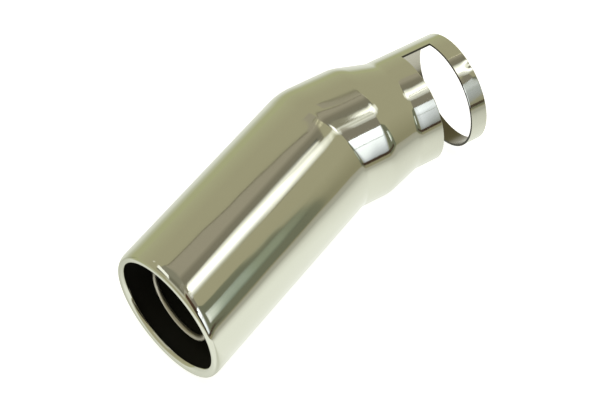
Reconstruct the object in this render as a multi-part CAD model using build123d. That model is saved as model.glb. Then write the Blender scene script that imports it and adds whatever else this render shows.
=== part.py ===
from build123d import *
import math
import os

os.makedirs("parts", exist_ok=True)

# Exhaust tip, lying on its side: millimetres and degrees, +Z up, mouth towards -X.

# Outlet
wall = 1.2                      # sheet thickness of the shell
outlet_radius = 38.0            # outside of the outlet tube
outlet_length = 134.5           # bend centre to mouth, along the outlet's axis
bend_angle = 21.6               # between the outlet's axis and the neck's axis
mouth_slant = 10.1              # tilt of the mouth, longer on the inside of the bend
lip_length = 7.2                # half axis of the lip's oval rounding, along the tube
lip_depth = 2.6                 # half axis of the lip's oval rounding, towards the axis
lip_turn = 137.0                # how far the sheet rolls over: past 90 it runs back into the tube
lip_flats = 9                   # narrow flats that the rounding is drawn with

# Neck, in the order in which it leaves the bend
collar_length = 25.5            # full-size run between the bend and the cone
cone_length = 20.5
cone_shoulder_radius = 38.0     # blend from collar to cone
cone_root_radius = 14.0         # blend from cone to neck
neck_radius = 32.3              # outside of the neck
neck_length = 15.0              # plain run between the cone and the slot
slot_width = 19.0               # gap that a clamp band passes through
slot_corner_radius = 1.5
strap_angle = 125.0             # share of the neck's circle kept as the strap that bridges the slot
ring_width = 10.0               # closed ring at the end of the neck

# Inner pipe
inner_wall = 1.2
inner_radius = 22.2             # outside of the inner pipe
inner_recess = 10.5             # how far its lip sits back from the mouth
inner_slant = 14.0              # tilt of its lip, the same way as the mouth's
inner_lip_bevel = 1.1           # bevel on both shoulders of its folded lip
inner_lip_face = 0.8            # flat between the two bevels
inner_lip_return = 4.0          # how far the fold runs back into the pipe
inner_run = 32.0                # straight run, lip to flare
flare_length = 12.0             # flare out to the outlet tube's wall
seat_length = 8.0               # cylindrical seat inside the outlet tube
seat_clearance = 0.1            # room round the seat

# Stations along the neck's axis, counted from the bend centre
cone_start = collar_length
cone_end = cone_start + cone_length
slot_start = cone_end + neck_length
slot_end = slot_start + slot_width
neck_end = slot_end + ring_width

# Stations along X, counted from the bend centre
inner_mouth = inner_recess - outlet_length
flare_start = inner_mouth + inner_run
seat_start = flare_start + flare_length
seat_end = seat_start + seat_length
seat_radius = outlet_radius - wall - seat_clearance

past = 2 * outlet_radius        # how far cutting tools run past what they cut
downward = Axis((0, 0, 0), (0, 0, -1))

# Neck frame: X along the neck's axis, Y towards the outside of the bend
neck_frame = Plane(origin=(0, 0, 0), x_dir=Vector(1, 0, 0).rotate(downward, bend_angle), z_dir=(0, 0, 1))
# Mitre plane: halves the bend and faces the neck
mitre = Plane(origin=(0, 0, 0), z_dir=Vector(1, 0, 0).rotate(downward, bend_angle / 2))


def along_x(radius, start, end):
    """Solid cylinder on the X axis, from start to end."""
    disc = Plane(origin=(start, 0, 0), z_dir=(1, 0, 0)) * Circle(radius)
    return extrude(disc, end - start)


def spun(outline):
    """Solid of revolution about X, under an outline that runs from left to right."""
    first = outline @ 0
    last = outline @ 1
    base = Polyline(last, (last.X, 0), (first.X, 0), first)
    return revolve(make_face(outline.edges() + base.edges()), Axis.X)


def tube(radius, thickness, start, end):
    """Round tube on the X axis, from start to end."""
    return along_x(radius, start, end) - along_x(radius - thickness, start, end)


def lipped_tube(radius, thickness, section, lip_start, slant, end):
    """Tube that ends in a slanted lip: the lip's section is turned about X, then slid along by its height."""
    rise = math.tan(math.radians(slant))
    slide = Matrix([[1, rise, 0, lip_start], [0, 1, 0, 0], [0, 0, 1, 0]])
    lip = revolve(section, Axis.X).transform_geometry(slide)
    cut = Plane(origin=(lip_start, 0, 0), z_dir=Vector(-1, 0, 0).rotate(downward, slant))
    plain = split(tube(radius, thickness, lip_start - past, end), bisect_by=cut, keep=Keep.BOTTOM)
    return plain + lip


def rolled_section():
    """Half section of the outlet's lip, an oval rounding that rolls over inwards, with the tube towards +X."""
    def rounding(share, inset):
        angle = math.radians(lip_turn * share)
        depth = lip_depth - inset
        return (inset - lip_length) * math.sin(angle), outlet_radius - lip_depth + depth * math.cos(angle)

    outside = [rounding(n / lip_flats, 0) for n in range(lip_flats + 1)]
    inside = [rounding(share, wall) for share in (1, 2 / 3, 1 / 3, 0)]
    return make_face(Polyline(*outside, *inside, close=True))


def folded_section():
    """Half section of the inner pipe's lip, folded inwards with bevelled shoulders, with the pipe towards +X."""
    inside = inner_radius - 2 * inner_lip_bevel - inner_lip_face
    outline = Polyline(
        (0, inner_radius),
        (inner_lip_bevel - inner_lip_return, inner_radius),
        (-inner_lip_return, inner_radius - inner_lip_bevel),
        (-inner_lip_return, inside + inner_lip_bevel),
        (inner_lip_bevel - inner_lip_return, inside),
        (0, inside),
        close=True,
    )
    return make_face(outline)


def neck_form(inset, blends):
    """Collar, cone and neck as one solid, inset from the outside and trimmed at the mitre."""
    outline = FilletPolyline(
        (0, outlet_radius - inset),
        (cone_start, outlet_radius - inset),
        (cone_end, neck_radius - inset),
        (slot_start, neck_radius - inset),
        radius=blends,
    )
    return split(neck_frame.location * spun(outline), bisect_by=mitre, keep=Keep.TOP)


def bend_form(inset):
    """Ball-shaped wedge that rounds the outside of the bend."""
    radius = outlet_radius - inset
    arc = CenterArc((0, 0), radius, -90, 180)
    half_disc = make_face(arc.edges() + Line(arc @ 1, arc @ 0).edges())
    return revolve(Plane.YZ * half_disc, downward, bend_angle)


def slot_tool():
    """Straight cut across the neck that leaves the strap on the outside of the bend."""
    floor = neck_radius * math.cos(math.radians(strap_angle / 2))
    depth = floor + past
    cut = Pos((slot_start + slot_end) / 2, floor - depth / 2) * Rectangle(slot_width, depth)
    cut = fillet(cut.vertices().group_by(Axis.Y)[-1], slot_corner_radius)
    return extrude(neck_frame * cut, past, both=True)


def flare_form(inset):
    """Rear of the inner pipe as a solid: flare and seat, inset from the outside."""
    outline = Polyline(
        (flare_start, inner_radius - inset),
        (seat_start, seat_radius - inset),
        (seat_end, seat_radius - inset),
    )
    return spun(outline)


def make_outlet_tube():
    section = rolled_section()
    lip_start = -outlet_length - section.bounding_box().min.X
    outlet = lipped_tube(outlet_radius, wall, section, lip_start, mouth_slant, 0)
    return split(outlet + bend_form(0) - bend_form(wall), bisect_by=mitre, keep=Keep.BOTTOM)


def make_inlet_neck():
    outside = neck_form(0, (cone_shoulder_radius, cone_root_radius))
    collar = outside - neck_form(wall, (0, 0)) + (bend_form(0) - bend_form(wall))
    collar = split(collar, bisect_by=mitre, keep=Keep.TOP)
    strap = neck_frame.location * tube(neck_radius, wall, slot_start, slot_end) - slot_tool()
    ring = neck_frame.location * tube(neck_radius, wall, slot_end, neck_end)
    # Fused as they are, so the bore's wall keeps one face for each of its three stretches
    return collar.fuse(strap, ring)


def make_inner_pipe():
    lip_start = inner_mouth + inner_lip_return
    front = lipped_tube(inner_radius, inner_wall, folded_section(), lip_start, inner_slant, flare_start)
    return front + (flare_form(0) - flare_form(inner_wall))


# Both axes lie level, so the outlet and the collar rest on the same floor
nodes = {
    "outlet_tube": make_outlet_tube(),
    "inlet_neck": make_inlet_neck(),
    "inner_pipe": make_inner_pipe(),
}

# The origin goes under the middle of the whole box, on the floor
box = Compound(list(nodes.values())).bounding_box()
to_origin = Pos(-box.center().X, -box.center().Y, -box.min.Z)
for name, solid in nodes.items():
    export_step(to_origin * solid, f"parts/{name}.step")
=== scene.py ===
import math

import bpy
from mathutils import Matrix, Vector


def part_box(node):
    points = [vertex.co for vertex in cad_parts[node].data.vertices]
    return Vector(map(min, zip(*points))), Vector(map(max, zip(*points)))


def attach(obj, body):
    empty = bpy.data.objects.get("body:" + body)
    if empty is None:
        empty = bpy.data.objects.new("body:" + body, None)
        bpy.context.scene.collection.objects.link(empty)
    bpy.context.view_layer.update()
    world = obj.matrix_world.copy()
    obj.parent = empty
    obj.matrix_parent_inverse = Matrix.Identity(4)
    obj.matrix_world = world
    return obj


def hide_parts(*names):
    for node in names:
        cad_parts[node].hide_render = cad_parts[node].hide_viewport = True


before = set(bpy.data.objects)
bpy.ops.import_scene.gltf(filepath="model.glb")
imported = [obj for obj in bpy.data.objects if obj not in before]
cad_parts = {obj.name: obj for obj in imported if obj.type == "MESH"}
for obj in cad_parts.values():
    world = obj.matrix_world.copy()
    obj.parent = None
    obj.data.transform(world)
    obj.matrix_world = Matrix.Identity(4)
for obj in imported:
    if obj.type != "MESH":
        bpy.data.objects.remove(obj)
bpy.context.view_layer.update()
mm = 0.001
tiny = 1e-9
print("frame loaded")


def deselectAll():
    if bpy.context.object and bpy.context.object.mode != "OBJECT":
        bpy.ops.object.mode_set(mode="OBJECT")
    bpy.ops.object.select_all(action="DESELECT")


def makeActive(piece):
    deselectAll()
    piece.select_set(True)
    bpy.context.view_layer.objects.active = piece


def smoothStep(x, low, high):
    t = max(0.0, min(1.0, (x - low) / (high - low)))
    return t * t * (3 - 2 * t)


def softCorner(before, corner, after, radius, steps):
    # a soft curve that rounds one corner of a profile
    corner = Vector(corner)
    inDir = (corner - Vector(before)).normalized()
    outDir = (Vector(after) - corner).normalized()
    turn = math.acos(max(-1.0, min(1.0, inDir.dot(outDir))))
    reach = radius * math.tan(turn / 2)
    start = corner - inDir * reach
    end = corner + outDir * reach
    points = []
    for n in range(steps + 1):
        t = n / steps
        points.append(tuple(start.lerp(corner, t).lerp(corner.lerp(end, t), t)))
    return points


def runPoints(start, end, steps):
    # inner points of a straight run, without its two ends
    return [tuple(Vector(start).lerp(Vector(end), n / steps)) for n in range(1, steps)]


def sweepProfile(name, profile, around):
    # one circle, extruded ring by ring along X and resized to the profile
    deselectAll()
    station, radius = profile[0]
    bpy.ops.mesh.primitive_circle_add(vertices=around, radius=radius, fill_type="NOTHING",
                                      location=(station, 0, 0), rotation=(0, math.pi / 2, 0))
    piece = bpy.context.object
    piece.name = name
    piece.data.name = name
    bpy.ops.object.transform_apply(location=True, rotation=True, scale=True)
    bpy.ops.object.mode_set(mode="EDIT")
    bpy.ops.mesh.select_all(action="SELECT")
    for nextStation, nextRadius in profile[1:]:
        bpy.ops.mesh.extrude_edges_move(TRANSFORM_OT_translate={"value": (nextStation - station, 0, 0)})
        grow = nextRadius / radius
        bpy.ops.transform.resize(value=(1, grow, grow), center_override=(nextStation, 0, 0))
        station, radius = nextStation, nextRadius
    bpy.ops.object.mode_set(mode="OBJECT")
    return piece


sheetMetal = {
    "merge": 0.02 * mm,
    "bevelSteps": 2,
    "sharp": 60.0,      # edges that turn more than this, in degrees, are bevelled
    "smooth": 40.0,     # and edges that turn less than this are shaded smooth
}


def finishSheet(piece, thickness, bevel):
    # doubles merged, thickness added inwards, then soft cut edges
    makeActive(piece)
    bpy.ops.object.mode_set(mode="EDIT")
    bpy.ops.mesh.select_all(action="SELECT")
    bpy.ops.mesh.remove_doubles(threshold=sheetMetal["merge"])
    bpy.ops.object.mode_set(mode="OBJECT")
    wall = piece.modifiers.new("wall", "SOLIDIFY")
    wall.thickness = thickness
    wall.offset = -1
    wall.use_even_offset = True
    wall.material_offset = 1
    # the rims, which are the sheet's cut edges, take the third material, which is dark with painted shade
    wall.material_offset_rim = 2
    bpy.ops.object.modifier_apply(modifier=wall.name)
    if bevel:
        edge = piece.modifiers.new("edge", "BEVEL")
        edge.width = bevel
        edge.segments = sheetMetal["bevelSteps"]
        edge.limit_method = "ANGLE"
        edge.angle_limit = math.radians(sheetMetal["sharp"])
        bpy.ops.object.modifier_apply(modifier=edge.name)
    makeActive(piece)
    bpy.ops.object.shade_smooth_by_angle(angle=math.radians(sheetMetal["smooth"]))


# polished shell: outlet tube, kink, collar, cone, neck, strap and ring as one skin
shell = {
    "outletRadius": 38.0 * mm,
    "wall": 1.2 * mm,
    "outletLength": 134.40 * mm,        # kink to mouth
    "bend": math.radians(21.6),
    "mouthSlant": math.radians(10.1),
    "slantHold": 9.0 * mm,              # the mouth's slant holds this far back
    "slantFade": 40.0 * mm,             # and is gone after this much more
    "lip": (7.2 * mm, 2.6 * mm),        # half axes of the lip's oval rounding, along and across
    "lipPower": 3.0,                    # above 2 the rounding is fuller than an ellipse
    "lipInside": 3.5 * mm,              # half axis across past the lip's front, where the roll turns back
    "lipUneven": (0.45, 50.0),          # share by which the roll is shallower at this angle up from +Y
    "lipTurn": 148.0,                   # degrees the sheet rolls over
    "collarLength": 25.5 * mm,
    "coneLength": 20.5 * mm,
    "shoulderRadius": 22.0 * mm,
    "rootRadius": 14.0 * mm,
    "neckRadius": 32.3 * mm,
    "neckLength": 15.0 * mm,
    "slotWidth": 19.0 * mm,
    "strapAngle": 125.0,
    "ringWidth": 10.0 * mm,
    "bendZone": 6.0 * mm,               # only nominal, the fold turns it into the rounded kink
    "mitreReach": (34.0 * mm, 17.0 * mm),   # stretches of outlet and collar whose rings lean to the mitre
    "creaseReach": 20.0 * mm,           # how far ahead of the kink the outlet starts to dip towards it
    "creaseFrom": 6.0 * mm,             # the crease runs this far ahead of the kink over the top
    "creaseSoft": 1.4 * mm,
    "weldDip": (0.15 * mm, 13.0 * mm),  # shallow hollow where the weld was ground, depth and reach
    "weldFade": (12.0 * mm, 30.0 * mm),     # it ends between these distances towards +Y
    "dents": [
        (90 * mm, 73, 0.36 * mm, 2.6 * mm, 3.2),   # station, angle, depth, reach along, reach around
        (87 * mm, 64, -0.09 * mm, 3.0 * mm, 4.5),
        (50 * mm, 80, 0.06 * mm, 5.0 * mm, 8),
        (47 * mm, 40, 0.05 * mm, 4.0 * mm, 8),
    ],
    "edgeBevel": 0.16 * mm,
    "edgeRing": 0.35 * mm,              # a ring this close to a cut edge keeps the mirror straight up to it
    "around": 288,                      # 1.25 degrees a step, so the strap ends on a step
    "steps": {"lip": 40, "outlet": 14, "crease": 28, "bend": 12, "collar": 20, "shoulder": 12,
              "cone": 6, "root": 8, "neck": 6, "slot": 6, "ring": 9},
}

# the kink, where both axes meet, read from the two tubes of the frame
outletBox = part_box("outlet_tube")
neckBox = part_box("inlet_neck")
neckStretches = ("collarLength", "coneLength", "neckLength", "slotWidth", "ringWidth")
neckReach = sum(shell[stretch] for stretch in neckStretches)
kink = Vector((
    neckBox[1].x - neckReach * math.cos(shell["bend"]) - shell["neckRadius"] * math.sin(shell["bend"]),
    outletBox[1].y - shell["outletRadius"],
    shell["outletRadius"],
))


def shellProfile():
    # stations and radii of the straightened shell, from the lip's rolled edge to the end of the ring
    s = shell
    steps = s["steps"]
    zone = s["bendZone"]
    profile = []
    for n in range(steps["lip"] + 1):
        a = math.radians(s["lipTurn"] * (1 - n / steps["lip"]))
        out = math.sin(a) ** (2 / s["lipPower"])
        up = math.copysign(abs(math.cos(a)) ** (2 / s["lipPower"]), math.cos(a))
        drop = s["lip"][1] - up * (s["lip"][1] if up > 0 else s["lipInside"])
        profile.append((s["lip"][0] * (1 - out) - s["outletLength"], s["outletRadius"] - drop))
    profile.append((profile[-1][0] + s["edgeRing"], s["outletRadius"]))
    creaseStart = (-s["creaseReach"], s["outletRadius"])
    bendStart = (0, s["outletRadius"])
    bendEnd = (zone, s["outletRadius"])
    profile += runPoints(profile[-1], creaseStart, steps["outlet"]) + [creaseStart]
    profile += runPoints(creaseStart, bendStart, steps["crease"])
    profile += [(zone * n / steps["bend"], s["outletRadius"]) for n in range(steps["bend"] + 1)]
    coneStart = (zone + s["collarLength"], s["outletRadius"])
    coneEnd = (coneStart[0] + s["coneLength"], s["neckRadius"])
    slotStart = (coneEnd[0] + s["neckLength"], s["neckRadius"])
    slotEnd = (slotStart[0] + s["slotWidth"], s["neckRadius"])
    ringEnd = (slotEnd[0] + s["ringWidth"], s["neckRadius"])
    shoulder = softCorner(bendEnd, coneStart, coneEnd, s["shoulderRadius"], steps["shoulder"])
    root = softCorner(coneStart, coneEnd, slotStart, s["rootRadius"], steps["root"])
    profile += runPoints(bendEnd, shoulder[0], steps["collar"]) + shoulder
    profile += runPoints(shoulder[-1], root[0], steps["cone"]) + root
    cutRuns = (("neck", root[-1], slotStart), ("slot", slotStart, slotEnd), ("ring", slotEnd, ringEnd))
    for part, start, end in cutRuns:
        profile += runPoints(start, end, steps[part]) + [(end[0] - s["edgeRing"], end[1]), end]
        if part == "slot":
            profile.append((end[0] + s["edgeRing"], end[1]))
    return profile, slotStart[0], slotEnd[0]


def collarRadius(x, cosine):
    # distance from the outlet's axis to the collar's wall, carried on past the kink
    s = shell
    c = math.cos(s["bend"])
    w = math.sin(s["bend"])
    a = 1 - (cosine * w) ** 2
    b = -2 * x * cosine * w * c
    d = (x * w) ** 2 - s["outletRadius"] ** 2
    return (math.sqrt(b * b - 4 * a * d) - b) / (2 * a)


def weldHollow(along, y):
    depth, reach = shell["weldDip"]
    far = math.hypot(along, shell["creaseSoft"]) / reach
    return depth * max(0.0, 1 - far) ** 3 * (1 - smoothStep(y, *shell["weldFade"]))


def softLower(gap, soft):
    # how far the lower of two walls is rounded where they cross, gap being their distance
    return (gap - math.hypot(gap, soft)) / 2 + soft * soft / 4 / max(abs(gap) + soft, tiny)


def creaseDip(x, crease, mitre, cosine):
    # the outlet dips ahead of the crease, and the collar's wall carries on from there
    s = shell
    full = s["outletRadius"] - collarRadius(crease, cosine)
    rise = 2 * full / (s["creaseReach"] + crease)
    lean = cosine * math.sin(s["bend"]) + rise
    t = (min(x, mitre) + s["creaseReach"]) / (crease + s["creaseReach"])
    ahead = full * (t * t if t < 1 else 2 * t - 1)
    after = s["outletRadius"] - collarRadius(x, cosine) if x < mitre else 0.0
    return after + softLower(ahead - after + max(0.0, x - mitre) * lean, s["creaseSoft"] * lean)


def dentDepth(run, y, z):
    # shallow hollows in the neck's thin end, each at a station and an angle up from its side
    angle = math.degrees(math.atan2(z, -y))
    depth = 0.0
    for station, at, deep, along, around in shell["dents"]:
        depth += deep * math.exp(-((run - station) / along) ** 2 - ((angle - at) / around) ** 2)
    return depth


def lipEase(radius, y, z):
    # the roll's inner half is not equally deep all round: less so high on the +Y side
    share, angle = shell["lipUneven"]
    flat = shell["outletRadius"] - shell["lip"][1]
    near = math.cos(math.atan2(z, y) - math.radians(angle))
    return min(0.0, radius - flat) * share * max(0.0, near) ** 3


def foldShell(piece):
    # straight tube into place: slanted mouth, mitre on the inside of the bend, ball on its outside
    s = shell
    zone = s["bendZone"]
    bend = s["bend"]
    slantEnd = s["slantHold"] - s["outletLength"]
    for v in piece.data.vertices:
        x, y, z = v.co
        radius = math.hypot(y, z)
        dip = 0.0
        turn = 0.0
        mitre = min(0.0, y) * math.tan(bend / 2)
        crease = min(-s["creaseFrom"], mitre)
        inside = max(0.0, -y / radius)
        if x <= 0:
            if x < s["lip"][0] - s["outletLength"]:
                dip = lipEase(radius, y, z)
            slant = 1 - smoothStep(x, slantEnd, slantEnd + s["slantFade"])
            x += mitre * max(0.0, 1 + x / s["mitreReach"][0])
            x += math.tan(s["mouthSlant"]) * y * slant
            if x > -s["creaseReach"]:
                dip = creaseDip(x, crease, mitre, inside) + weldHollow(x - crease, y)
        elif x < zone:
            if y > 0:
                turn = bend * x / zone
            x = mitre
            dip = creaseDip(x, crease, mitre, inside) + weldHollow(x - crease, y)
        else:
            turn = bend
            run = x - zone
            x = run - mitre * max(0.0, 1 - run / s["mitreReach"][1])
            past = x + 2 * mitre
            if past < s["creaseReach"]:
                dip = creaseDip(past, crease, mitre, inside)
            dip += weldHollow(past - crease, y) + dentDepth(run, y, z)
        y -= y * dip / radius
        z -= z * dip / radius
        c = math.cos(turn)
        w = math.sin(turn)
        v.co = kink + Vector((x * c + y * w, y * c - x * w, z))


def cutSlot(piece, slotStart, slotEnd):
    # faces between the two slot rings go, apart from the strap on the outside of the bend
    half = math.radians(shell["strapAngle"] / 2)
    for f in piece.data.polygons:
        c = f.center
        f.select = slotStart < c.x < slotEnd and abs(math.atan2(c.z, c.y)) > half
    for group in (piece.data.edges, piece.data.vertices):
        for item in group:
            item.select = False
    makeActive(piece)
    bpy.ops.object.mode_set(mode="EDIT")
    bpy.ops.mesh.select_mode(type="FACE")
    bpy.ops.mesh.delete(type="FACE")
    bpy.ops.object.mode_set(mode="OBJECT")


def makeShell():
    profile, slotStart, slotEnd = shellProfile()
    piece = sweepProfile("polishedShell", profile, shell["around"])
    cutSlot(piece, slotStart, slotEnd)
    foldShell(piece)
    return piece


shellPiece = makeShell()
print("shell rings done")


# inner pipe: its own rolled lip, straight run, flare and seat
innerPipe = {
    "radius": 22.2 * mm,
    "wall": 1.2 * mm,
    "recess": 10.5 * mm,                # how far its lip sits back from the mouth
    "slant": math.radians(14.0),
    "slantHold": 4.0 * mm,
    "slantFade": 20.0 * mm,
    "lipWidth": 3.0 * mm,
    "lipRoll": (1.5 * mm, 2.1 * mm),    # half axes along the pipe of the roll's outer and inner side
    "lipReturn": 2.5 * mm,
    "run": 32.0 * mm,
    "flareLength": 12.0 * mm,
    "flareSoftness": 4.0 * mm,
    "seatLength": 8.0 * mm,
    "seatClearance": 0.1 * mm,
    "around": 192,
    "steps": {"lip": 20, "run": 10, "corner": 6, "flare": 6, "seat": 3},
}


def pipeProfile():
    # stations and radii, from the lip's folded edge to the end of the seat
    p = innerPipe
    steps = p["steps"]
    mouth = p["recess"] - shell["outletLength"]
    flareStart = (mouth + p["run"], p["radius"])
    seatRadius = shell["outletRadius"] - shell["wall"] - p["seatClearance"]
    seatStart = (flareStart[0] + p["flareLength"], seatRadius)
    seatEnd = (seatStart[0] + p["seatLength"], seatRadius)
    half = p["lipWidth"] / 2
    profile = [(mouth + p["lipReturn"], p["radius"] - p["lipWidth"])]
    for n in range(steps["lip"] + 1):
        a = math.pi * n / steps["lip"]
        reach = p["lipRoll"][0 if math.cos(a) < 0 else 1]
        profile.append((mouth + reach * (1 - math.sin(a)), p["radius"] - half - half * math.cos(a)))
    lower = softCorner(profile[-1], flareStart, seatStart, p["flareSoftness"], steps["corner"])
    upper = softCorner(flareStart, seatStart, seatEnd, p["flareSoftness"], steps["corner"])
    profile += runPoints(profile[-1], lower[0], steps["run"]) + lower
    profile += runPoints(lower[-1], upper[0], steps["flare"]) + upper
    profile += runPoints(upper[-1], seatEnd, steps["seat"]) + [seatEnd]
    return profile, mouth


def makePipe():
    profile, mouth = pipeProfile()
    piece = sweepProfile("innerPipe", profile, innerPipe["around"])
    slantEnd = mouth + innerPipe["slantHold"]
    for v in piece.data.vertices:
        x, y, z = v.co
        slant = 1 - smoothStep(x, slantEnd, slantEnd + innerPipe["slantFade"])
        v.co = kink + Vector((x + math.tan(innerPipe["slant"]) * y * slant, y, z))
    return piece


pipePiece = makePipe()
print("inner pipe rings done")


# node helpers
def rgba(tone):
    # one number is a grey
    if isinstance(tone, (int, float)):
        return (tone, tone, tone, 1)
    return (*tone, 1)


def link(tree, a, b):
    tree.links.new(a, b)


def feed(tree, value, socket):
    # another node's output is linked, anything else is set
    if isinstance(value, bpy.types.NodeSocket):
        link(tree, value, socket)
    else:
        socket.default_value = value


def socketed(group, name, kind, way, value=None):
    socket = group.interface.new_socket(name=name, in_out=way, socket_type=kind)
    if value is not None:
        socket.default_value = value


def axesOf(tree, coordinates):
    place = tree.nodes.new("ShaderNodeTexCoord")
    split = tree.nodes.new("ShaderNodeSeparateXYZ")
    link(tree, place.outputs[coordinates], split.inputs["Vector"])
    return split.outputs


def mathOf(tree, operation, *values):
    node = tree.nodes.new("ShaderNodeMath")
    node.operation = operation
    for socket, value in zip(node.inputs, values):
        feed(tree, value, socket)
    return node.outputs["Value"]


def fadeAlong(tree, value, low, high, smooth):
    fade = tree.nodes.new("ShaderNodeMapRange")
    if smooth:
        fade.interpolation_type = "SMOOTHSTEP"
    fade.inputs["From Min"].default_value = low
    fade.inputs["From Max"].default_value = high
    link(tree, value, fade.inputs["Value"])
    return fade.outputs["Result"]


def mixColour(tree, factor, a, b, blend="MIX"):
    mix = tree.nodes.new("ShaderNodeMix")
    mix.data_type = "RGBA"
    mix.blend_type = blend
    for socket, value in (("Factor", factor), ("A", a), ("B", b)):
        feed(tree, value, mix.inputs[socket])
    return mix.outputs["Result"]


def rampOf(tree, value, stops, scale=1.0):
    # tones at places along a value, straight between them
    ramp = tree.nodes.new("ShaderNodeValToRGB")
    low = stops[0][0] * scale
    high = stops[-1][0] * scale
    link(tree, fadeAlong(tree, value, low, high, False), ramp.inputs["Fac"])
    elements = ramp.color_ramp.elements
    while len(elements) < len(stops):
        elements.new(0.5)
    for element, (at, tone) in zip(elements, stops):
        element.position = (at * scale - low) / (high - low)
        element.color = rgba(tone)
    return ramp.outputs["Color"]


def bumpOf(tree, height, depth):
    bump = tree.nodes.new("ShaderNodeBump")
    bump.inputs["Strength"].default_value = 1.0
    bump.inputs["Distance"].default_value = depth
    link(tree, height, bump.inputs["Height"])
    return bump


polish = {
    "lineScale": 900.0,
    "lineStretch": (0.03, 1.0, 1.0),    # polishing lines run along X
    "lineDetail": 3.0,
    "smearScale": 22.0,
    "smearDetail": 4.0,
    "smearRoughness": 0.6,
    "waveScale": 45.0,                  # the sheet is not quite even
}


def polishGroup():
    # fine polishing lines along the sheet and soft smears
    group = bpy.data.node_groups.new("polishMarks", "ShaderNodeTree")
    socketed(group, "Vector", "NodeSocketVector", "INPUT")
    socketed(group, "Line Scale", "NodeSocketFloat", "INPUT", polish["lineScale"])
    socketed(group, "Smear Scale", "NodeSocketFloat", "INPUT", polish["smearScale"])
    socketed(group, "Lines", "NodeSocketFloat", "OUTPUT")
    socketed(group, "Smears", "NodeSocketFloat", "OUTPUT")
    nodes = group.nodes
    groupIn = nodes.new("NodeGroupInput")
    groupOut = nodes.new("NodeGroupOutput")
    stretch = nodes.new("ShaderNodeMapping")
    stretch.inputs["Scale"].default_value = polish["lineStretch"]
    link(group, groupIn.outputs["Vector"], stretch.inputs["Vector"])
    lines = nodes.new("ShaderNodeTexNoise")
    lines.inputs["Detail"].default_value = polish["lineDetail"]
    link(group, stretch.outputs["Vector"], lines.inputs["Vector"])
    link(group, groupIn.outputs["Line Scale"], lines.inputs["Scale"])
    smears = nodes.new("ShaderNodeTexNoise")
    smears.inputs["Detail"].default_value = polish["smearDetail"]
    smears.inputs["Roughness"].default_value = polish["smearRoughness"]
    link(group, groupIn.outputs["Vector"], smears.inputs["Vector"])
    link(group, groupIn.outputs["Smear Scale"], smears.inputs["Scale"])
    link(group, lines.outputs["Fac"], groupOut.inputs["Lines"])
    link(group, smears.outputs["Fac"], groupOut.inputs["Smears"])
    return group


polishMarks = polishGroup()

# wave and lineDepth are depths in metres, rough runs from clean to smeared
finishes = {
    "polishedSteel": {"metallic": 1.0, "light": (0.765, 0.77, 0.68), "deep": (0.725, 0.73, 0.635),
                      "rough": (0.045, 0.10), "wave": 0.00012, "lineDepth": 0.000004},
    "innerSteel": {"metallic": 1.0, "light": (0.60, 0.57, 0.50), "deep": (0.48, 0.45, 0.38),
                   "rough": (0.30, 0.46), "wave": 0.00008, "lineDepth": 0.00001},
    # the tubes' insides are coloured near black
    "blackInside": {"metallic": 0.0, "light": (0.016, 0.015, 0.011), "deep": (0.006, 0.006, 0.004),
                    "rough": (0.55, 0.80), "wave": 0.0002, "lineDepth": 0.00002},
    # the cut edges are coloured dark: painted shade on the edge faces
    "shadedCutEdge": {"metallic": 1.0, "light": (0.12, 0.115, 0.09), "deep": (0.05, 0.048, 0.035),
                "rough": (0.40, 0.55), "wave": 0.0001, "lineDepth": 0.00003},
}

bareInside = {
    "light": (0.50, 0.48, 0.41),
    "deep": (0.17, 0.15, 0.10),
    "rough": 0.20,
    "from": (0.03, 0.06),           # stations in which the near-black inside gives way to bare sheet
    "darkerBelow": (0.013, 0.025),        # heights over which the inside goes from darker at the bottom to lighter above
}


def metalMaterial(name):
    finish = finishes[name]
    material = bpy.data.materials.new(name)
    material.use_nodes = True
    tree = material.node_tree
    shader = tree.nodes["Principled BSDF"]
    shader.inputs["Metallic"].default_value = finish["metallic"]
    place = tree.nodes.new("ShaderNodeTexCoord")
    marks = tree.nodes.new("ShaderNodeGroup")
    marks.node_tree = polishMarks
    link(tree, place.outputs["Object"], marks.inputs["Vector"])
    tint = mixColour(tree, marks.outputs["Smears"], rgba(finish["light"]), rgba(finish["deep"]))
    link(tree, tint, shader.inputs["Base Color"])
    gloss = tree.nodes.new("ShaderNodeMapRange")
    gloss.inputs["To Min"].default_value = finish["rough"][0]
    gloss.inputs["To Max"].default_value = finish["rough"][1]
    link(tree, marks.outputs["Smears"], gloss.inputs["Value"])
    link(tree, gloss.outputs["Result"], shader.inputs["Roughness"])
    wave = tree.nodes.new("ShaderNodeTexNoise")
    wave.inputs["Scale"].default_value = polish["waveScale"]
    wave.inputs["Detail"].default_value = 0.0
    link(tree, place.outputs["Object"], wave.inputs["Vector"])
    soft = bumpOf(tree, wave.outputs["Fac"], finish["wave"])
    fine = bumpOf(tree, marks.outputs["Lines"], finish["lineDepth"])
    link(tree, soft.outputs["Normal"], fine.inputs["Normal"])
    link(tree, fine.outputs["Normal"], shader.inputs["Normal"])
    return material


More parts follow.
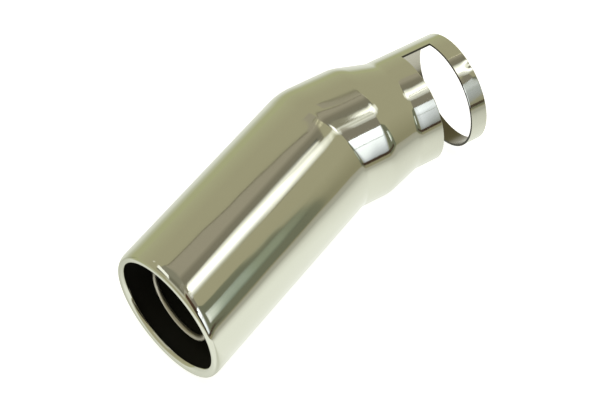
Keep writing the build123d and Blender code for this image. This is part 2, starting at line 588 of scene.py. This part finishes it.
def bareTowardsNeck(material):
    # the neck's inside is plain sheet, darker towards the bottom, and only the outlet's is near black
    tree = material.node_tree
    shader = tree.nodes["Principled BSDF"]
    axes = axesOf(tree, "Object")
    bare = fadeAlong(tree, axes["X"], *bareInside["from"], True)
    link(tree, bare, shader.inputs["Metallic"])
    nearBlack = shader.inputs["Base Color"].links[0].from_socket
    # the bare inside is darker towards the bottom
    heightFade = fadeAlong(tree, axes["Z"], *bareInside["darkerBelow"], True)
    plain = mixColour(tree, heightFade, rgba(bareInside["deep"]), rgba(bareInside["light"]))
    link(tree, mixColour(tree, bare, nearBlack, plain), shader.inputs["Base Color"])
    dull = tree.nodes.new("ShaderNodeMix")
    link(tree, bare, dull.inputs["Factor"])
    link(tree, shader.inputs["Roughness"].links[0].from_socket, dull.inputs["A"])
    dull.inputs["B"].default_value = bareInside["rough"]
    link(tree, dull.outputs["Result"], shader.inputs["Roughness"])


polishedSteel = metalMaterial("polishedSteel")
innerSteel = metalMaterial("innerSteel")
blackInside = metalMaterial("blackInside")
shadedCutEdge = metalMaterial("shadedCutEdge")
bareTowardsNeck(blackInside)

for piece, outside in ((shellPiece, polishedSteel), (pipePiece, innerSteel)):
    for material in (outside, blackInside, shadedCutEdge):
        piece.data.materials.append(material)

finishSheet(shellPiece, shell["wall"], shell["edgeBevel"])
finishSheet(pipePiece, innerPipe["wall"], 0)

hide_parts("outlet_tube", "inlet_neck")
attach(shellPiece, "root")
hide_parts("inner_pipe")
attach(pipePiece, "root")
print("pieces dressed")


# pale sheet that the part lies on: its tones are how the metal mirrors it, the camera sees it plain
sheet = {
    "size": 8.0,
    "drop": 0.2 * mm,               # just under the part
    "paper": 0.8,
    "glow": 0.72,
    # towards +Y
    "across": [(0.02, 1), (0.09, (0.84, 0.84, 0.82)), (0.125, (0.76, 0.76, 0.71)),
               (0.17, (0.58, 0.58, 0.48)), (0.26, (0.49, 0.488, 0.317))],
    # towards -Y
    "away": [(0.10, (0.98, 1, 0.935)), (0.30, (0.85, 0.86, 0.79)), (0.45, (0.70, 0.705, 0.64)),
             (0.80, (0.47, 0.47, 0.41)), (1.65, (0.46, 0.45, 0.38)), (4.0, (0.42, 0.41, 0.34))],
    "skew": 2.5,                    # how much sooner it dims there on the +X side
    # along X, shaded under the mouth
    "mouth": [(-0.14, 1), (-0.128, (0.85, 0.85, 0.83)), (-0.118, (0.75, 0.75, 0.72)),
              (-0.108, (0.73, 0.73, 0.69)), (-0.10, (0.9, 0.9, 0.88)), (-0.09, 1)],
}


def sheetTone(tree):
    axes = axesOf(tree, "Object")
    back = mathOf(tree, "SUBTRACT", 0.0, axes["Y"])
    side = mathOf(tree, "MINIMUM", axes["X"], back)
    skewed = mathOf(tree, "MULTIPLY_ADD", side, sheet["skew"], back)
    across = rampOf(tree, axes["Y"], sheet["across"])
    away = rampOf(tree, skewed, sheet["away"])
    mouth = rampOf(tree, axes["X"], sheet["mouth"])
    return mixColour(tree, 1.0, mixColour(tree, 1.0, across, away, "MULTIPLY"), mouth, "MULTIPLY")


def makeFloor():
    deselectAll()
    bpy.ops.mesh.primitive_plane_add(size=sheet["size"], location=(0, 0, -sheet["drop"]))
    floor = bpy.context.object
    floor.name = "paleSheet"
    material = bpy.data.materials.new("paleSheet")
    material.use_nodes = True
    tree = material.node_tree
    nodes = tree.nodes
    nodes.clear()
    out = nodes.new("ShaderNodeOutputMaterial")
    seenInMetal = nodes.new("ShaderNodeEmission")
    link(tree, sheetTone(tree), seenInMetal.inputs["Color"])
    paper = nodes.new("ShaderNodeBsdfDiffuse")
    paper.inputs["Color"].default_value = rgba(sheet["paper"])
    glow = nodes.new("ShaderNodeEmission")
    glow.inputs["Strength"].default_value = sheet["glow"]
    seenDirectly = nodes.new("ShaderNodeAddShader")
    link(tree, paper.outputs["BSDF"], seenDirectly.inputs[0])
    link(tree, glow.outputs["Emission"], seenDirectly.inputs[1])
    path = nodes.new("ShaderNodeLightPath")
    metalMix = nodes.new("ShaderNodeMixShader")
    link(tree, path.outputs["Is Glossy Ray"], metalMix.inputs["Fac"])
    link(tree, paper.outputs["BSDF"], metalMix.inputs[1])
    link(tree, seenInMetal.outputs["Emission"], metalMix.inputs[2])
    cameraMix = nodes.new("ShaderNodeMixShader")
    link(tree, path.outputs["Is Camera Ray"], cameraMix.inputs["Fac"])
    link(tree, metalMix.outputs["Shader"], cameraMix.inputs[1])
    link(tree, seenDirectly.outputs["Shader"], cameraMix.inputs[2])
    link(tree, cameraMix.outputs["Shader"], out.inputs["Surface"])
    floor.data.materials.append(material)


makeFloor()

# warm room round the part
room = {
    "backdrop": 1,                  # what the camera sees past the sheet
    "wall": (0.435, 0.413, 0.28),
    # each part: colour, sine of the elevation where it starts and is full,
    # then an axis and where along it the part starts and is full
    "parts": [
        ((0.49, 0.488, 0.317), (0.45, -0.1), "Y", (0.2, 0.6)),
        ((0.33, 0.31, 0.20), (0.50, 0.10), "Y", (-0.25, -0.6)),
        ((0.74, 0.74, 0.64), (0.30, 0.08), "X", (-0.35, -0.8)),
    ],
}


def makeWorld():
    world = bpy.data.worlds.new("warmRoom")
    world.use_nodes = True
    bpy.context.scene.world = world
    tree = world.node_tree
    axes = axesOf(tree, "Generated")
    tone = rgba(room["wall"])
    for colour, heights, axis, sides in room["parts"]:
        height = fadeAlong(tree, axes["Z"], *heights, False)
        side = fadeAlong(tree, axes[axis], *sides, True)
        tone = mixColour(tree, mathOf(tree, "MULTIPLY", height, side), tone, rgba(colour))
    path = tree.nodes.new("ShaderNodeLightPath")
    tone = mixColour(tree, path.outputs["Is Camera Ray"], tone, rgba(room["backdrop"]))
    link(tree, tone, tree.nodes["Background"].inputs["Color"])


makeWorld()

# cards for what the polished skin mirrors, on the ceiling and on the window wall, which is at -Y
# a place on a card is (x, y) over the height for the ceiling and (x, z) over the distance for the wall
# first and second are tones along those two numbers, by which the colour is multiplied
roomSize = {"ceiling": 4.0, "window": 4.0}
ovalSteps = 64
fieldTones = [(-0.10, (0.62, 0.63, 0.62)), (0.06, (0.68, 0.68, 0.66)), (0.18, 1.06), (0.6, 1.06)]
cards = {
    "roundLamp": {
        "on": "ceiling", "centre": (0.574, -0.295), "half": (0.205, 0.24), "limit": 0.62,
        "lift": 0.05,
        "colour": (2, 2, 1.94),
        "first": [(0.545, 1), (0.567, 0.62), (0.598, 0.35), (0.615, (0.24, 0.24, 0.22))],
        "second": [(-0.535, (0.22, 0.21, 0.15)), (-0.50, (0.25, 0.25, 0.20)), (-0.456, (0.34, 0.34, 0.30)),
                   (-0.414, (0.53, 0.53, 0.52)), (-0.374, 0.70), (-0.33, 1), (-0.22, 1),
                   (-0.183, (0.68, 0.68, 0.65)), (-0.147, (0.57, 0.57, 0.54)), (-0.111, (0.38, 0.38, 0.36)),
                   (-0.08, (0.20, 0.195, 0.17)), (-0.055, (0.12, 0.115, 0.09))],
    },
    "lampPoint": {
        "on": "ceiling", "corners": [(0.56, -0.52), (0.88, -0.44), (0.88, -0.25), (0.56, -0.19)],
        "lift": 0.06,
        "colour": (1, 1, 0.96),
        "first": [(0.56, 1.9), (0.60, 1.3), (0.65, (1.12, 1.12, 1.07)), (0.71, (1.08, 1.08, 1.02)),
                  (0.77, (0.94, 0.94, 0.88)), (0.81, (1.1, 1.1, 1.0)), (0.88, (0.65, 0.65, 0.52))],
        "second": [(-0.52, (0.36, 0.34, 0.28)), (-0.456, (0.62, 0.62, 0.58)), (-0.414, (0.85, 0.85, 0.83)),
                   (-0.335, 1.05), (-0.294, 1), (-0.25, (0.82, 0.82, 0.80)), (-0.19, (0.5, 0.5, 0.46))],
    },
    "lampLine": {
        "on": "ceiling", "corners": [(0.54, -0.195), (0.625, -0.19), (0.625, -0.135), (0.54, -0.12)],
        "lift": 0.06,
        "colour": (1.1, 1.1, 1.0),
        "first": [(0.58, 1), (0.60, (0.85, 0.85, 0.82)), (0.625, (0.5, 0.5, 0.45))],
    },
    "lampTail": {
        "on": "ceiling", "corners": [(0.275, -0.50), (0.42, -0.50), (0.42, -0.28), (0.29, -0.285)],
        "lift": 0.05,
        "colour": (1, 1, 0.92),
        "second": [(-0.50, 0.6), (-0.45, 0.65), (-0.41, 0.98), (-0.37, (0.60, 0.60, 0.57)), (-0.33, 1),
                   (-0.285, (0.5, 0.5, 0.46))],
    },
    "collarTaupe": {
        "on": "ceiling", "corners": [(0.26, -0.29), (0.40, -0.29), (0.40, -0.10), (0.26, -0.10)],
        "lift": 0.02,
        "colour": (0.30, 0.285, 0.21),
    },
    "ceilingField": {
        "on": "ceiling", "corners": [(0.37, -0.14), (0.65, -0.14), (0.62, 0.27), (0.50, 0.82)],
        "colour": (0.37, 0.34, 0.265),
        "second": fieldTones,
    },
    "ceilingSeam": {
        "on": "ceiling", "corners": [(0.62, 0.22), (0.62, 0.28), (0.50, 0.84), (0.50, 0.76)],
        "lift": 0.02,
        "colour": (0.12, 0.11, 0.075),
    },
    "ceilingEnd": {
        "on": "ceiling", "corners": [(0.62, -0.2), (0.70, -0.2), (0.70, 0.35), (0.62, 0.27)],
        "colour": (0.37, 0.34, 0.265),
        "second": fieldTones,
    },
    "ceilingTip": {
        "on": "ceiling", "corners": [(0.62, 0.27), (0.685, 0.34), (0.90, 0.74), (0.785, 0.76)],
        "colour": (0.39, 0.36, 0.28),
    },
    "tipSeam": {
        "on": "ceiling", "corners": [(0.685, 0.34), (0.705, 0.335), (0.925, 0.745), (0.90, 0.74)],
        "lift": 0.02,
        "colour": (0.25, 0.235, 0.16),
    },
    "spotLamp": {
        "on": "ceiling", "corners": [(0.726, 0.05), (0.742, 0.05), (0.709, 0.225), (0.694, 0.22)],
        "lift": 0.05,
        "colour": (1.05, 1.0, 0.72),
        "second": [(0.05, (0.5, 0.5, 0.48)), (0.08, 1), (0.115, 1), (0.15, (0.5, 0.5, 0.48)),
                   (0.195, (0.45, 0.45, 0.43)), (0.215, 1.3)],
    },
    "ceilingNear": {
        "on": "ceiling", "corners": [(0.05, -0.85), (0.37, -0.85), (0.37, 0.0), (0.05, 0.0)],
        "colour": (0.45, 0.42, 0.35),
        "second": [(-0.85, (0.58, 0.57, 0.55)), (-0.50, (0.58, 0.57, 0.55)), (-0.40, 1)],
    },
    "windowPane": {
        "on": "window", "corners": [(-0.3, 0.17), (0.10, 0.17), (0.42, 1.25), (-0.3, 1.25)],
        "colour": (1.225, 1.297, 1.44),
        "lean": 0.296,              # its first tones lean with the pane's edge
        "first": [(-0.07, (1.75, 1.75, 1.7)), (-0.03, 1.08), (-0.002, (0.85, 0.85, 0.82)),
                  (0.028, (0.58, 0.58, 0.54))],
        "second": [(0.17, 0.42), (0.26, 0.52), (0.50, 0.60), (0.72, 0.66), (0.86, 0.90), (1.25, 1)],
    },
    "windowBar": {
        "on": "window", "corners": [(-0.3, 0.685), (0.25, 0.685), (0.257, 0.71), (-0.3, 0.71)],
        "lift": 0.02,
        "colour": (0.5, 0.54, 0.52),
    },
    "windowSill": {
        "on": "window", "corners": [(-0.3, 0.085), (0.42, 0.085), (0.42, 0.17), (-0.3, 0.17)],
        "colour": (0.065, 0.04, 0.026),
    },
    "windowFrame": {
        "on": "window", "corners": [(0.10, 0.03), (0.56, 0.03), (0.64, 0.88), (0.42, 1.27)],
        "colour": (0.19, 0.20, 0.14),
        "first": [(0.42, 1), (0.58, 1), (0.65, (1.55, 1.5, 1.45)), (0.72, (2.0, 1.9, 1.9))],
    },
    "dimPane": {
        "on": "window", "corners": [(0.36, 0.27), (0.56, 0.27), (0.62, 0.57), (0.44, 0.66)],
        "lift": 0.02,
        "colour": (0.47, 0.54, 0.46),
        "lean": 0.22,
        "first": [(0.33, (2.2, 2.0, 2.3)), (0.362, (2.0, 1.85, 2.0)), (0.372, (1.42, 1.36, 1.42)),
                  (0.38, (0.95, 0.96, 0.93)), (0.397, (0.74, 0.75, 0.74)), (0.416, (0.66, 0.67, 0.58)),
                  (0.453, (0.63, 0.61, 0.52)), (0.495, (0.45, 0.42, 0.34))],
        "second": [(0.26, 0.6), (0.36, 1.02), (0.50, 1), (0.64, 0.75)],
    },
    "paneLine": {
        "on": "window", "corners": [(0.615, 0.80), (0.70, 0.74), (0.70, 0.762), (0.615, 0.83)],
        "lift": 0.02,
        "colour": (0.43, 0.43, 0.31),
    },
    # seen in the lip alone: a second lamp, the dim zenith and a dark shape in front of the window
    "lipLamp": {
        "on": "ceiling", "corners": [(-0.13, 0.40), (0.14, 0.42), (0.40, 1.10), (0.12, 1.12)],
        "lift": 0.05,
        "colour": (1.2, 1.2, 1.15),
    },
    "lipSpark": {
        "on": "ceiling", "centre": (0.54, 1.62), "half": (0.06, 0.10),
        "lift": 0.05,
        "colour": (0.9, 0.9, 0.8),
    },
    "zenith": {
        "on": "ceiling", "corners": [(-0.18, -0.2), (0.37, -0.14), (0.50, 0.82), (-0.18, 1.2)],
        "colour": (0.28, 0.27, 0.21),
        "first": [(-0.18, 1), (0.05, (0.65, 0.65, 0.62)), (0.25, 1)],
    },
    "paleCeiling": {
        "on": "ceiling", "corners": [(-0.6, -0.2), (-0.18, -0.2), (-0.18, 0.6), (-0.6, 0.6)],
        "colour": (0.57, 0.56, 0.46),
    },
    "darkAbove": {
        "on": "ceiling", "corners": [(-0.75, -1.0), (0.06, -1.0), (0.16, -0.22), (-0.14, -0.25)],
        "lift": 0.02,
        "colour": (0.10, 0.058, 0.038),
        "second": [(-1.0, (0.35, 0.5, 0.5)), (-0.45, 1)],
    },
    "darkBeside": {
        "on": "window", "corners": [(-0.75, 0.05), (-0.28, 0.05), (-0.14, 1.0), (-0.75, 1.0)],
        "lift": 0.04,
        "colour": (0.20, 0.18, 0.13),
        "second": [(0.05, 1), (0.3, 0.45), (0.6, (0.17, 0.16, 0.15))],
    },
}


def cardFar(card):
    return roomSize[card["on"]] - card.get("lift", 0.0)


def cardPoint(card, first, second):
    far = cardFar(card)
    if card["on"] == "ceiling":
        return Vector((first * far, second * far, far))
    return Vector((first * far, -far, second * far))


def cardShape(card):
    # an oval, cut off straight at its limit, or four corners
    deselectAll()
    if "centre" in card:
        bpy.ops.mesh.primitive_circle_add(vertices=ovalSteps, radius=1, fill_type="NGON")
        shape = bpy.context.object
        for v in shape.data.vertices:
            first = card["centre"][0] + card["half"][0] * v.co.x
            second = card["centre"][1] + card["half"][1] * v.co.y
            v.co = cardPoint(card, min(first, card.get("limit", first)), second)
    else:
        bpy.ops.mesh.primitive_plane_add(size=1)
        shape = bpy.context.object
        ring = [shape.data.vertices[n] for n in shape.data.polygons[0].vertices]
        for v, corner in zip(ring, card["corners"]):
            v.co = cardPoint(card, *corner)
    return shape


def cardMaterial(name, card):
    material = bpy.data.materials.new(name)
    material.use_nodes = True
    tree = material.node_tree
    tree.nodes.clear()
    axes = axesOf(tree, "Object")
    ways = {"first": axes["X"], "second": axes["Y" if card["on"] == "ceiling" else "Z"]}
    if "lean" in card:
        ways["first"] = mathOf(tree, "MULTIPLY_ADD", axes["Z"], -card["lean"], axes["X"])
    tone = rgba(card["colour"])
    for way, value in ways.items():
        if way in card:
            tone = mixColour(tree, 1.0, tone, rampOf(tree, value, card[way], cardFar(card)), "MULTIPLY")
    glow = tree.nodes.new("ShaderNodeEmission")
    feed(tree, tone, glow.inputs["Color"])
    out = tree.nodes.new("ShaderNodeOutputMaterial")
    link(tree, glow.outputs["Emission"], out.inputs["Surface"])
    return material


for name, card in cards.items():
    shape = cardShape(card)
    shape.name = name
    shape.data.materials.append(cardMaterial(name, card))
    shape.visible_camera = False        # only the metal shows it, also from low views

# soft overhead lamp for the floor and the cut edges, not seen in the metal
lamp = {"place": (0.1, 0.1, 1.6), "size": 1.6, "watts": 9.0}
lampData = bpy.data.lights.new("overhead", "AREA")
lampData.shape = "DISK"
lampData.size = lamp["size"]
lampData.energy = lamp["watts"]
overhead = bpy.data.objects.new("overhead", lampData)
overhead.location = lamp["place"]
overhead.visible_glossy = False
bpy.context.scene.collection.objects.link(overhead)
print("studio done")

# camera, from the fit to the photo's edges
view = {
    "place": (-0.463489, -0.258126, 0.815239),
    "turn": (33.7068, -4.0927, -54.0978),       # degrees
    "lens": 104.878,
    "sensor": 36.0,
    "near": 0.01,
}
cameraData = bpy.data.cameras.new("camera")
cameraData.sensor_fit = "HORIZONTAL"
cameraData.sensor_width = view["sensor"]
cameraData.lens = view["lens"]
cameraData.clip_start = view["near"]
camera = bpy.data.objects.new("camera", cameraData)
camera.location = view["place"]
camera.rotation_euler = [math.radians(a) for a in view["turn"]]
bpy.context.scene.collection.objects.link(camera)
bpy.context.scene.camera = camera
bpy.context.scene.view_settings.view_transform = "Standard"
